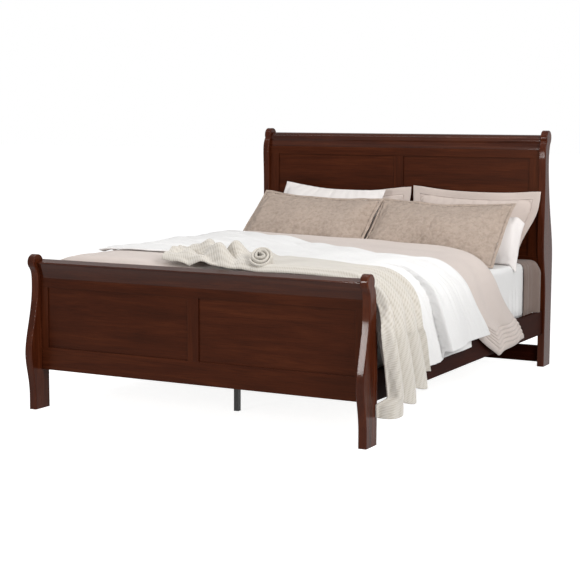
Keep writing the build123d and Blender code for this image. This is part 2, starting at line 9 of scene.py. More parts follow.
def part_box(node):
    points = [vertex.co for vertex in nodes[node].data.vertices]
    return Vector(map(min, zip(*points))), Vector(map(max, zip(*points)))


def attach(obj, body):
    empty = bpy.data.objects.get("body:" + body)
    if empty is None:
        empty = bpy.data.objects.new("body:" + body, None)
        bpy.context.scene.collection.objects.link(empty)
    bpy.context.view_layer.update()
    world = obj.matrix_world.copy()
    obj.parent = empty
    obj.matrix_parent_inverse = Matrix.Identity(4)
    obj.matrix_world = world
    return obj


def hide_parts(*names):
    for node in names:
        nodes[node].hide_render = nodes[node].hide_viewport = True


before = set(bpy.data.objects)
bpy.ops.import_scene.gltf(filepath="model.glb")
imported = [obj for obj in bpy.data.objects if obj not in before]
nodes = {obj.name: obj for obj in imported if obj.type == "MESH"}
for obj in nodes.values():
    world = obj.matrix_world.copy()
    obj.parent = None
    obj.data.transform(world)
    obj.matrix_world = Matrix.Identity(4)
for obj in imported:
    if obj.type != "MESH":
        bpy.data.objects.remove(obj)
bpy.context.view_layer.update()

# A dressed queen sleigh bed in metres: +Y to the headboard, +X to the right, floor at Z 0.
# Distances across a cover, called s, run along the cloth from the middle of the bed to the right.

sheet_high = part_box("fitted_sheet")[1]
mattress_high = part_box("mattress")[1]
rail_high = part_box("side_rail_right")[1]
sheet_top = sheet_high.z
mattress_corner = 0.06

# Camera
picture_side = 580
sensor_width = 36
camera_place = (3.1507, -6.1183, 1.2827)
camera_turn = 28.015
camera_dip = 6.838
camera_roll = 0.233
camera_focus = 1468.1

# Cover surface: (x, z) from the left hem over the bed to the right hem
cover_line = [
    (-0.828, 0.186), (-0.828, 0.36), (-0.820, 0.47), (-0.800, 0.56), (-0.755, 0.630), (-0.69, 0.662),
    (-0.58, 0.672), (-0.35, 0.668), (0, 0.656), (0.35, 0.650), (0.58, 0.643), (0.68, 0.630),
    (0.745, 0.598), (0.79, 0.545), (0.815, 0.475), (0.826, 0.36), (0.828, 0.25), (0.828, 0.06),
]
# Underside of the coverlet, which lies on the sheet and clears the side rails
under_line = [
    (-0.806, 0.186), (-0.806, 0.315), (-0.786, 0.42), (-0.768, 0.52), (-0.735, 0.5515), (-0.60, 0.5515),
    (0, 0.5515), (0.60, 0.5515), (0.735, 0.5515), (0.768, 0.52), (0.786, 0.42), (0.806, 0.315),
    (0.806, 0.25), (0.806, 0.06),
]
foot_tuck_y = -1.012
foot_tuck_round = 0.075
foot_tuck_share = 0.9
cloth_step = 0.011


def smooth_line(points, steps=24):
    """Points along a smooth curve through the given ones."""
    p = np.array(points, float)
    p = np.vstack([2 * p[0] - p[1], p, 2 * p[-1] - p[-2]])
    t = np.linspace(0, 1, steps, endpoint=False)[:, None]
    spans = []
    for a, b, c, d in zip(p, p[1:], p[2:], p[3:]):
        square = a - 2.5 * b + 2 * c - d / 2
        cube = 1.5 * (b - c) + (d - a) / 2
        spans.append(b + (c - a) * t / 2 + square * t**2 + cube * t**3)
    return np.vstack(spans + [p[-2:-1]])


def ease(value):
    """Rises smoothly from 0 to 1 as value does."""
    t = np.clip(value, 0, 1)
    return t * t * (3 - 2 * t)


def bump(value, centre, width):
    """1 where value is at the centre, falling to 0 on both sides."""
    return np.exp(-(((value - centre) / width) ** 2))


def stitches(from_edge, places, width):
    """1 along each seam that runs beside an edge; places are the seams' distances from it."""
    return sum(bump(from_edge, place, width) for place in places)


def waves(a, b, size, seed, count=9):
    """Smooth uneven ripples over two lengths, about -1 to 1, each of about the given size."""
    rng = np.random.default_rng(seed)
    total = np.zeros(np.broadcast(a, b).shape)
    for _ in range(count):
        turn, pace, start = rng.uniform(0, pi), rng.uniform(0.6, 1.5), rng.uniform(0, 2 * pi)
        run = a * cos(turn) + b * sin(turn)
        total += np.sin(2 * pi * pace * run / size + start)
    return total / count**0.5


def edge_line(points):
    """An edge of a cover as a function: how far along the bed it is at each distance across."""
    line = smooth_line(points)
    return lambda s: np.interp(s, line[:, 0], line[:, 1])


def stations(length, step, rim):
    """Shares from 0 to 1 along a length, a step apart, and closer together near both ends."""
    near = rim * (1 - np.cos(np.linspace(0, pi / 2, 6)))
    middle = np.linspace(rim, length - rim, int((length - 2 * rim) / step))
    run = np.concatenate([near[:-1], middle, (length - near[:-1])[::-1]])
    return run / length


class Profile:
    """A smooth line of (x, z) points across the bed, measured along itself from the middle."""

    def __init__(self, points):
        line = smooth_line(points)
        step = np.linalg.norm(np.diff(line, axis=0), axis=1)
        run = np.concatenate([[0], np.cumsum(step)])
        self.s = run - run[np.argmin(np.abs(line[:, 0]))]
        self.x, self.z = line.T
        along = np.gradient(line, axis=0)
        along /= np.linalg.norm(along, axis=1)[:, None]
        self.out_x, self.out_z = -along[:, 1], along[:, 0]

    def place(self, s, y, lift):
        """Points at s and y, raised off the line by lift."""
        x = np.interp(s, self.s, self.x) + lift * np.interp(s, self.s, self.out_x)
        z = np.interp(s, self.s, self.z) + lift * np.interp(s, self.s, self.out_z)
        return np.stack([x, y + 0 * x, z], -1)


def grid_faces(rows, cols, start=0, wrap=False):
    """Faces between the points of a grid; with wrap, its last column joins its first."""
    index = start + np.arange(rows * cols).reshape(rows, cols)
    if wrap:
        index = np.hstack([index, index[:, :1]])
    corners = [index[:-1, :-1], index[1:, :-1], index[1:, 1:], index[:-1, 1:]]
    return np.stack(corners, -1).reshape(-1, 4)


def border_loop(index):
    """Point numbers round the border of a grid."""
    return np.concatenate([index[0, :-1], index[:-1, -1], index[-1, :0:-1], index[:0:-1, 0]])


def twin_faces(rows, cols, loops, wrap=False):
    """Faces of two grids of points, the second listed after the first, joined along the given loops."""
    other = rows * cols
    faces = [grid_faces(rows, cols, 0, wrap), grid_faces(rows, cols, other, wrap)[:, ::-1]]
    for loop in loops:
        after = np.roll(loop, -1)
        faces.append(np.stack([loop, after, after + other, loop + other], -1))
    return np.vstack(faces)


def corner_points(mesh):
    """The point number at each corner of a mesh's faces."""
    numbers = np.zeros(len(mesh.loops), np.int32)
    mesh.loops.foreach_get("vertex_index", numbers)
    return numbers


def make_object(name, points, faces, cloth_places=None):
    """A smooth mesh object; cloth_places are the points' places on the flat cloth, kept as its UVs."""
    mesh = bpy.data.meshes.new(name)
    mesh.from_pydata(np.asarray(points).reshape(-1, 3).tolist(), [], np.asarray(faces).tolist())
    if cloth_places is not None:
        layer = mesh.uv_layers.new(name="cloth")
        flat = np.asarray(cloth_places, np.float32).reshape(-1, 2)[corner_points(mesh)]
        layer.data.foreach_set("uv", flat.ravel())
    shape = bmesh.new()
    shape.from_mesh(mesh)
    bmesh.ops.remove_doubles(shape, verts=shape.verts, dist=1e-6)
    bmesh.ops.recalc_face_normals(shape, faces=shape.faces)
    shape.to_mesh(mesh)
    shape.free()
    mesh.polygons.foreach_set("use_smooth", np.ones(len(mesh.polygons), bool))
    mesh.update()
    piece = bpy.data.objects.new(name, mesh)
    bpy.context.scene.collection.objects.link(piece)
    return piece


def make_shell(name, outer, inner, cloth_places, ring=False):
    """A closed cloth between two grids of points; a ring wraps round and is joined at its hem alone."""
    rows, cols = outer.shape[:2]
    index = np.arange(rows * cols).reshape(rows, cols)
    loop = index[0] if ring else border_loop(index)
    points = np.vstack([outer.reshape(-1, 3), inner.reshape(-1, 3)])
    places = np.vstack([cloth_places.reshape(-1, 2)] * 2)
    return make_object(name, points, twin_faces(rows, cols, [loop], ring), places)


def round_rim(outer, inner, gap, radius, seat=0.5):
    """Draws both faces of a cloth together near its edges; gap is the distance to the edge."""
    least = 0.12
    near = np.clip(gap / radius, 0, 1)
    share = np.maximum(np.sqrt(1 - (1 - near) ** 2), least)[..., None]
    middle = inner + seat * (outer - inner)
    return middle + (outer - middle) * share, middle + (inner - middle) * share


def edge_gap(u, width, t, length):
    """Distance of each grid point from the nearest edge of its cover."""
    along = np.minimum(u, 1 - u) * width
    across = np.minimum(t, 1 - t) * length
    return np.minimum(along, across)


class Graph:
    """The nodes of a material or a world, with short calls for them."""

    def __init__(self, owner, shader="Principled BSDF"):
        owner.use_nodes = True
        self.owner = owner
        self.tree = owner.node_tree
        self.shader = self.tree.nodes[shader]

    def put(self, socket, value):
        """Links a socket to another one, or sets its value."""
        if isinstance(value, bpy.types.NodeSocket):
            self.tree.links.new(value, socket)
        else:
            socket.default_value = value

    def fill(self, node, **inputs):
        """Sets or links inputs; an underscore in a name stands for a space."""
        for key, value in inputs.items():
            self.put(node.inputs[key.replace("_", " ")], value)
        return node

    def add(self, kind, settings=None, **inputs):
        node = self.tree.nodes.new("ShaderNode" + kind)
        for key, value in (settings or {}).items():
            setattr(node, key, value)
        return self.fill(node, **inputs)

    def ramp(self, factor, stops):
        node = self.add("ValToRGB", Fac=factor)
        elements = node.color_ramp.elements
        while len(elements) < len(stops):
            elements.new(0.5)
        for element, (place, colour) in zip(elements, stops):
            element.position = place
            element.color = (*colour, 1)
        return node.outputs["Color"]

    def mix(self, factor, a, b, way="MIX"):
        node = self.add("MixRGB", {"blend_type": way}, Fac=factor, Color1=a, Color2=b)
        return node.outputs["Color"]

    def maths(self, way, *values, kind="Math"):
        node = self.add(kind, {"operation": way})
        for socket, value in zip(node.inputs, values):
            self.put(socket, value)
        return node.outputs[0]

    def weigh(self, *terms):
        """The sum of the terms, each a value and its weight."""
        parts = [self.maths("MULTIPLY", value, weight) for value, weight in terms]
        total = parts[0]
        for part in parts[1:]:
            total = self.maths("ADD", total, part)
        return total

    def spread(self, value, low, high):
        """Maps a value from 0 to 1 onto the range from low to high."""
        return self.add("MapRange", Value=value, To_Min=low, To_Max=high).outputs["Result"]

    def darken(self, tone, factor, share, dark, dark_end, light_start):
        """Multiplies a tone by a dark colour, by a share, where the factor is low."""
        shade = self.ramp(factor, [(dark_end, dark), (light_start, (1, 1, 1))])
        return self.mix(share, tone, shade, "MULTIPLY")

    def places(self):
        return self.add("TexCoord").outputs["Object"]

    def bands(self, vector, way, scale, bend):
        node = self.add("TexWave", {"bands_direction": way}, Vector=vector, Scale=scale, Distortion=bend)
        return node.outputs["Fac"]

    def noise(self, vector, scale, detail=4, rough=0.55, bend=0):
        node = self.add(
            "TexNoise", Vector=vector, Scale=scale, Detail=detail, Roughness=rough, Distortion=bend
        )
        return node.outputs["Fac"]

    def stretched(self, vector, scale):
        return self.add("Mapping", Vector=vector, Scale=scale).outputs["Vector"]

    def relief(self, height, strength, depth, normal=None):
        node = self.add("Bump", Height=height, Strength=strength, Distance=depth)
        if normal is not None:
            self.fill(node, Normal=normal)
        return node.outputs["Normal"]


cherry_stops = [
    (0.25, (0.021, 0.0042, 0.0016)), (0.5, (0.048, 0.0102, 0.0036)), (0.78, (0.092, 0.023, 0.0080)),
]
# Painted light: a lighter copy of the cherry for the posts, whose outer faces catch the light.
lit_post_stops = [
    (0.25, (0.029, 0.0056, 0.0021)), (0.5, (0.066, 0.0140, 0.0050)), (0.78, (0.118, 0.029, 0.010)),
]
# Painted shade: a darker copy of the cherry for the side rails and the low stretcher, which sit in shade
# under the covers.
shaded_rail_stops = [
    (0.25, (0.012, 0.0020, 0.0010)), (0.5, (0.022, 0.0040, 0.0018)), (0.78, (0.038, 0.008, 0.0035)),
]
pine_stops = [(0.25, (0.42, 0.27, 0.14)), (0.5, (0.55, 0.38, 0.21)), (0.8, (0.66, 0.48, 0.29))]


def wood(name, way, stops, polish=0.30, gleam=0.12, coat=0.0, edge_round=0.0022):
    """Planks with their grain along one axis: long streaks, fine pores and a lacquer."""
    graph = Graph(bpy.data.materials.new(name))
    piece = graph.add("ObjectInfo").outputs["Random"]
    shift = graph.add("CombineXYZ", X=graph.maths("MULTIPLY", piece, 9), Y=piece, Z=piece).outputs[0]
    places = graph.maths("ADD", graph.places(), shift, kind="VectorMath")
    streak_scale = [1.1 if axis == way else 15 for axis in "xyz"]
    pore_scale = [9 if axis == way else 420 for axis in "xyz"]
    streaks = graph.noise(graph.stretched(places, streak_scale), 1.6, 7, 0.62, 0.8)
    pores = graph.noise(graph.stretched(places, pore_scale), 1, 3, 0.6)
    clouds = graph.noise(places, 3.2, 3, 0.5)
    colour = graph.ramp(graph.weigh((streaks, 0.75), (clouds, 0.25)), stops)
    colour = graph.darken(colour, pores, 0.8, (0.62, 0.58, 0.56), 0.36, 0.56)
    eased = graph.add("Bevel", {"samples": 6}, Radius=edge_round).outputs["Normal"]
    shine = graph.spread(streaks, polish, polish + 0.12)
    graph.fill(
        graph.shader, Base_Color=colour, Roughness=shine, Normal=graph.relief(pores, 0.10, 0.0006, eased),
        Specular_IOR_Level=gleam, Specular_Tint=(1, 0.55, 0.40, 1), Coat_Weight=coat, Coat_Roughness=0.09,
    )
    return graph.owner


def fabric(
    name, colour, shade, weave=170, depth=0.0014, sheen=0.15, crumple=0.4, crease_scale=16, painted_crease_shade=0.0
):
    """Woven cotton: crossing threads, soft patches of tone and small creases, with painted shade in their
    hollows where asked.
    """
    graph = Graph(bpy.data.materials.new(name))
    places = graph.places()
    patches = graph.noise(places, 5, 4, 0.6)
    slubs = graph.noise(graph.stretched(places, (90, 700, 500)), 1, 2)
    creases = graph.noise(places, crease_scale, 5, 0.65, 0.6)
    tone = graph.mix(patches, (*shade, 1), (*colour, 1))
    tone = graph.darken(tone, slubs, 0.10, (0.7, 0.68, 0.66), 0.3, 0.7)
    # Painted shade: the tone darkens in the hollows of the creases, where the relief is low.
    tone = graph.darken(tone, creases, painted_crease_shade, (0.8, 0.78, 0.76), 0.35, 0.6)
    threads = [(graph.bands(places, way, weave, 1.5), 0.25) for way in "XYZ"]
    rough = graph.weigh(*threads, (creases, crumple))
    graph.fill(
        graph.shader, Base_Color=tone, Roughness=0.92, Normal=graph.relief(rough, 0.5, depth),
        Specular_IOR_Level=0.2, Sheen_Weight=sheen, Sheen_Roughness=0.5,
    )
    return graph.owner


def knit(name, colour, shade):
    """Wool stitches in rows along the cloth, with painted shade in the hollows between them."""
    graph = Graph(bpy.data.materials.new(name))
    flat_places = graph.add("UVMap", {"uv_map": "cloth"}).outputs["UV"]
    ribs = graph.bands(flat_places, "Y", 22, 0.6)
    loops = graph.bands(flat_places, "DIAGONAL", 58, 0.9)
    fuzz = graph.noise(graph.places(), 130, 3, 0.7)
    stitch = graph.weigh((ribs, 0.3), (loops, 0.4), (fuzz, 0.4))
    # Painted shade: the tone darkens where the stitches sink.
    tone = graph.ramp(stitch, [(0.15, shade), (0.65, colour)])
    graph.fill(
        graph.shader, Base_Color=tone, Roughness=0.95, Normal=graph.relief(stitch, 0.7, 0.003),
        Specular_IOR_Level=0.15, Sheen_Weight=0.35, Sheen_Roughness=0.6,
    )
    return graph.owner


def metal(name, colour, metallic, rough, speck):
    """Coated or plated steel, or moulded plastic, with a fine uneven skin."""
    graph = Graph(bpy.data.materials.new(name))
    grit = graph.noise(graph.places(), speck, 4, 0.6)
    tone = graph.darken((*colour, 1), grit, 0.25, (0.55, 0.55, 0.55), 0.3, 0.7)
    wear = graph.spread(grit, rough - 0.08, rough + 0.08)
    skin = graph.relief(grit, 0.15, 0.0004)
    graph.fill(graph.shader, Base_Color=tone, Metallic=metallic, Roughness=wear, Normal=skin)
    return graph.owner


cherry = {way: wood("cherry_along_" + way, way, cherry_stops) for way in "xz"}
# Painted shade: the side rails and the low stretcher take the darker copy of the cherry.
cherry["y"] = wood("cherry_side_rails", "y", shaded_rail_stops, polish=0.5, gleam=0.02)
cherry_stretcher = wood("cherry_stretcher", "x", shaded_rail_stops, polish=0.5, gleam=0.02)
# Painted light: the posts take the lighter copy of the cherry.
cherry_posts = wood("cherry_posts", "z", lit_post_stops, polish=0.2, gleam=0.06, coat=0.14, edge_round=0.003)
cherry_crowns = wood("cherry_crowns", "x", cherry_stops, polish=0.2, gleam=0.06, coat=0.24)
pine = {way: wood("bare_wood_" + way, way, pine_stops, polish=0.55, gleam=0.4) for way in "xyz"}
black_steel = metal("black_steel", (0.012, 0.012, 0.012), metallic=0.0, rough=0.45, speck=220)
black_plastic = metal("black_plastic", (0.015, 0.015, 0.015), metallic=0.0, rough=0.55, speck=400)
zinc = metal("zinc_steel", (0.62, 0.63, 0.64), metallic=1.0, rough=0.35, speck=150)
ticking_cloth = fabric(
    "ticking", (0.72, 0.69, 0.63), (0.66, 0.63, 0.57), weave=190, depth=0.0012, sheen=0.1, crumple=0.2
)
white_cotton = fabric("white_cotton", (0.86, 0.855, 0.85), (0.83, 0.82, 0.81), depth=0.0012, crumple=0.5)
taupe_cotton = fabric("taupe_cotton", (0.70, 0.612, 0.565), (0.65, 0.567, 0.52), sheen=0.2)
beige_cotton = fabric("beige_cotton", (0.66, 0.565, 0.515), (0.61, 0.52, 0.47))
# The quilting's hollows carry painted shade.
sham_quilt = fabric(
    "sham_quilt", (0.58, 0.466, 0.39), (0.51, 0.408, 0.338), weave=150, depth=0.008, crumple=1.0,
    crease_scale=45, painted_crease_shade=1.0,
)
pillow_cotton = fabric("pillow_cotton", (0.84, 0.80, 0.78), (0.80, 0.755, 0.735), depth=0.0012, crumple=0.5)
# Painted shade: a dark cloth for the sheet's corners beside the head posts, which stands for the shade
# there.
under_cloth = fabric("under_cloth", (0.25, 0.19, 0.165), (0.19, 0.142, 0.122))
cream_knit = knit("cream_knit", (0.66, 0.62, 0.56), (0.52, 0.475, 0.405))


def finish_frame():
    """Gives every rigid piece its wood or metal, with the grain along its longest side."""
    for name, piece in nodes.items():
        low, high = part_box(name)
        size = high - low
        way = "xyz"[max(range(3), key=lambda i: size[i])]
        # Painted light: the posts take the lighter copy of the cherry.
        if "_post_" in name:
            chosen = cherry_posts
        elif "_crown_" in name:
            chosen = cherry_crowns
        # Painted shade: the low stretcher takes the darker copy of the cherry.
        elif name == "head_low_stretcher":
            chosen = cherry_stretcher
        elif name.startswith(("foot_", "head_", "side_rail")):
            chosen = cherry[way]
        elif name.startswith(("slat_screws", "cleat_screws", "leg_screws", "rail_hook")):
            chosen = zinc
        elif name.startswith(("slat_", "cleat_")):
            chosen = pine[way]
        elif name.startswith("centre_leg"):
            chosen = black_steel
        elif name.startswith("leg_cap"):
            chosen = black_plastic
        else:
            continue
        piece.data.materials.clear()
        piece.data.materials.append(chosen)


def dress(piece, material, body, slot, *replaced):
    """Gives a soft piece its cloth and its body, and hides the solids that it stands for."""
    piece.data.materials.append(material)
    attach(piece, body)
    if replaced:
        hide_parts(*replaced)
    return piece


# Mattress set


def heading(angle):
    """A direction (x, y) from its angle in degrees."""
    return np.array([cos(radians(angle)), sin(radians(angle))])


def corner_loop(half_x, half_y, corner, step):
    """Points (x, y), outward directions and running length round a rectangle with round corners."""
    sides = [
        ((half_x, corner - half_y), (half_x, half_y - corner), 0),
        ((half_x - corner, half_y), (corner - half_x, half_y), 90),
        ((-half_x, half_y - corner), (-half_x, corner - half_y), 180),
        ((corner - half_x, -half_y), (half_x - corner, -half_y), 270),
    ]
    points, ways = [], []
    for start, end, angle in sides:
        start, end = np.array(start), np.array(end)
        way = heading(angle)
        count = int(np.linalg.norm(end - start) / step)
        for share in np.linspace(0, 1, count, endpoint=False):
            points.append(start + share * (end - start))
            ways.append(way)
        centre = end - corner * way
        for turn in np.linspace(angle, angle + 90, int(corner * pi / 2 / step) + 2, endpoint=False):
            way = heading(turn)
            points.append(centre + corner * way)
            ways.append(way)
    points, ways = np.array(points), np.array(ways)
    run = np.cumsum(np.linalg.norm(np.diff(points, axis=0, prepend=points[:1]), axis=1))
    return points, ways, run


def band_rows(loop, profile, ripple=None):
    """Rings of points round a slab; profile holds (reach out from the loop, height)."""
    points, ways, run = loop
    rings = []
    for reach, height in profile:
        extra = ripple(run, height, points) if ripple else 0
        ring = points + ways * (np.broadcast_to(reach + extra, run.shape)[:, None])
        rings.append(np.column_stack([ring, np.full(len(ring), height)]))
    return np.array(rings)


def cap_rings(ring, count):
    """Flat rings that close a slab's top or bottom towards its middle."""
    middle = ring[:, :2].mean(0)
    caps = []
    for share in np.linspace(1, 0, count + 1)[1:]:
        caps.append(np.column_stack([middle + (ring[:, :2] - middle) * share, ring[:, 2]]))
    return np.array(caps)


def slab(name, high, profile):
    """A padded slab: a profile swept round a rectangle with round corners, closed above and below."""
    cap_count = 24
    loop_step = 0.02
    loop = corner_loop(high.x, high.y, mattress_corner, loop_step)
    side = band_rows(loop, profile)
    rings = np.concatenate([cap_rings(side[0], cap_count)[::-1], side, cap_rings(side[-1], cap_count)])
    rows, cols = rings.shape[:2]
    run = np.broadcast_to(loop[2], (rows, cols))
    places = np.stack([run, rings[..., 2]], -1)
    return make_object(name, rings, grid_faces(rows, cols, wrap=True), places)


def arc(reach, height, radius, start, end, count):
    """Points (reach, height) on an arc between two angles."""
    points = []
    for turn in np.linspace(start, end, count):
        points.append((reach + radius * cos(radians(turn)), height + radius * sin(radians(turn))))
    return points


def taped_profile(low_z, high_z, tape, bulge, inset, edge_round):
    """A side between two tape beads, with round edges above and below."""
    edge_reach = -edge_round - inset
    low_tape = low_z + edge_round + tape
    high_tape = high_z - edge_round - tape
    profile = arc(edge_reach, low_z + edge_round, edge_round, -90, 0, 6)
    profile += arc(-inset, low_tape, tape, -90, 90, 7)
    for share in np.linspace(0.06, 0.94, 15):
        height = low_tape + tape + share * (high_tape - low_tape - 2 * tape)
        profile.append((bulge * sin(pi * share) - inset, height))
    profile += arc(-inset, high_tape, tape, -90, 90, 7)
    return profile + arc(edge_reach, high_z - edge_round, edge_round, 0, 90, 6)


def make_mattress_set():
    tape = 0.005
    bulge = 0.003
    inset = 0.006
    slabs = (("box_spring", "foundation", 0.012), ("mattress_pad", "mattress", 0.024))
    for name, node, edge_round in slabs:
        low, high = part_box(node)
        piece = slab(name, high, taped_profile(low.z, high.z, tape, bulge, inset, edge_round))
        dress(piece, ticking_cloth, "bedding", "ticking", node)


def make_fitted_sheet():
    """White sheet pulled over the mattress; its sides hang in shallow pleats near the corners."""
    hem_z = 0.285
    thickness = 0.0015
    top_round = 0.027
    stand_off = 0.0018
    loop_step = 0.008
    cap_count = 30
    pleat_pitch = 0.055
    pleat_depth = 0.0085
    wrinkle_height = 0.0012
    loop = corner_loop(mattress_high.x, mattress_high.y, mattress_corner, loop_step)

    def pleats(run, height, points):
        drop = ease((sheet_top - 0.05 - height) / 0.2)
        from_middle = np.abs(points[:, 1])
        corner = ease((from_middle - 0.5) / 0.2) * ease((0.81 - from_middle) / 0.06)
        sway = 1.4 * waves(run, 0 * run, 0.3, 5)
        folds = np.sin(run * 2 * pi / pleat_pitch + sway) + 0.5 * waves(run, 0 * run, 0.09, 8)
        room = pleat_depth - 0.0055 * ease((0.33 - height) / 0.03)
        return drop * corner * room * (0.5 + 0.5 * np.clip(folds, -1, 1))

    layers = []
    for gap in (0, thickness):
        reach = stand_off - gap
        profile = [(reach, z) for z in np.linspace(hem_z, sheet_top - top_round, 16)]
        profile += arc(reach - top_round, sheet_top - gap - top_round, top_round, 0, 90, 8)[1:]
        side = band_rows(loop, profile, pleats)
        top = cap_rings(side[-1], cap_count)
        inward = 1 - np.arange(cap_count) / cap_count
        wrinkle = wrinkle_height * np.maximum(0, waves(top[..., 0], top[..., 1], 0.16, 3))
        top[..., 2] += wrinkle * ease(inward * 3)[:, None]
        layers.append(np.concatenate([side, top]))
    outer, inner = layers
    run = np.broadcast_to(loop[2], outer.shape[:2])
    sheet = make_shell("bed_sheet", outer, inner, np.stack([run, outer[..., 2]], -1), ring=True)
    dress(sheet, white_cotton, "bedding", "white_cotton", "fitted_sheet")


def make_sheet_tails():
    """Loose corners of the sheet, dark with painted shade: over the mattress edge, then down in pleats to
    the side rail.
    """
    start_y, length = 0.825, 0.1735
    flat_start, flat_part, bend = 0.02, 0.07, 0.030
    thickness, rim_radius = 0.0018, 0.002
    pleat_count, pleat_stand = 5.3, 0.010
    flare = 0.036
    rail_turn = 0.956
    hem_behind_rail = 0.262
    hem_over_rail = rail_high.z + 0.001
    curve = bend * pi / 2
    side_x = sheet_high.x + 0.0004
    top_z = sheet_top + 0.0016
    v = stations(0.37, 0.006, 0.003)[:, None]
    t = stations(length, 0.0028, 0.003)[None, :]
    y = start_y + length * t + 0 * v
    over_rail = (y > rail_turn) * 1.0
    hem_z = hem_behind_rail + (hem_over_rail - hem_behind_rail) * over_rail
    drop = flat_part + curve + top_z - bend - hem_z
    run = flat_start + (drop - flat_start) * v
    turn = np.clip((run - flat_part) / bend, 0, pi / 2)
    x = side_x - bend + bend * np.sin(turn) - np.maximum(flat_part - run, 0)
    z = top_z - bend + bend * np.cos(turn) - np.maximum(run - flat_part - curve, 0)
    free = ease((run - flat_part) / 0.10)
    behind_rail = ease((rail_high.z + 0.03 - z) / 0.025) * (1 - over_rail)
    folds = 0.5 + 0.5 * np.cos(2 * pi * (pleat_count * t + 0.2 * waves(t, 0.3 * v, 0.6, 13)))
    stand = pleat_stand * free * (1 - 0.45 * behind_rail) * folds**0.7 * ease((0.995 - y) / 0.03)
    stand = stand * (1 - 0.4 * bump(y, rail_turn, 0.012))
    stand = stand + flare * ease((y - rail_turn) / 0.022) * ease((run - flat_part) / 0.08)
    for side, name in ((-1, "sheet_tail_left"), (1, "sheet_tail_right")):
        layers = []
        for reach in (thickness, 0):
            out = reach + stand
            layers.append(np.stack([side * (x + out * np.sin(turn)), y, z + out * np.cos(turn)], -1))
        outer, inner = round_rim(*layers, edge_gap(v, drop, t, length), rim_radius)
        piece = make_shell(name, outer, inner, np.stack([y, run], -1))
        # The dark cloth paints the shade on the sheet's corners.
        dress(piece, under_cloth, "bedding", "beige_cotton")


# Covers

cover = Profile(cover_line)
under = Profile(under_line)


def foot_drop(y):
    """How far a cover has sunk where it turns down inside the footboard."""
    past = np.clip((foot_tuck_y + foot_tuck_round - y) / foot_tuck_round, 0, 1)
    return foot_tuck_round * (1 - np.sqrt(1 - past**2)) * foot_tuck_share


def side_depth(s, start=0.72, full=1.12):
    """0 on top of the bed, rising to 1 down its sides."""
    return ease((np.abs(s) - start) / (full - start))


def cover_surface(s, y, lift):
    """Points on the covers: the profile with low swells, its foot end turned down between the posts."""
    swell_height, ripple_height = 0.006, 0.002
    swell = swell_height * waves(s, y, 0.75, 21) + ripple_height * waves(s * 0.4, y, 0.16, 22)
    points = cover.place(s, y, lift + swell * (1 - 0.8 * side_depth(s)))
    flat = ease((0.80 - np.abs(s)) / 0.1)
    points[..., 2] -= foot_drop(y) * flat
    return points


def fold_lines(phase, depth, pinch, pitch):
    """Rounded crests with narrow valleys: how far a fold moves out and along the bed."""
    out = depth * (0.5 + 0.5 * np.cos(phase))
    along = pinch * pitch / (2 * pi) * np.sin(phase)
    return out, along


blanket_head = edge_line([
    (-0.9, 0.47), (-0.70, 0.40), (-0.59, 0.355), (-0.08, 0.145), (0.145, 0.015), (0.295, -0.085),
    (0.55, -0.18), (0.665, -0.15), (0.76, -0.135), (0.83, -0.095), (0.905, -0.055), (1.005, 0.05),
    (1.07, 0.12), (1.2, 0.26),
])
blanket_foot = edge_line([
    (-0.9, -0.70), (-0.465, -0.655), (-0.335, -0.62), (-0.185, -0.64), (0.2, -0.76), (0.665, -0.82),
    (0.9, -0.80), (1.12, -0.72), (1.2, -0.70),
])


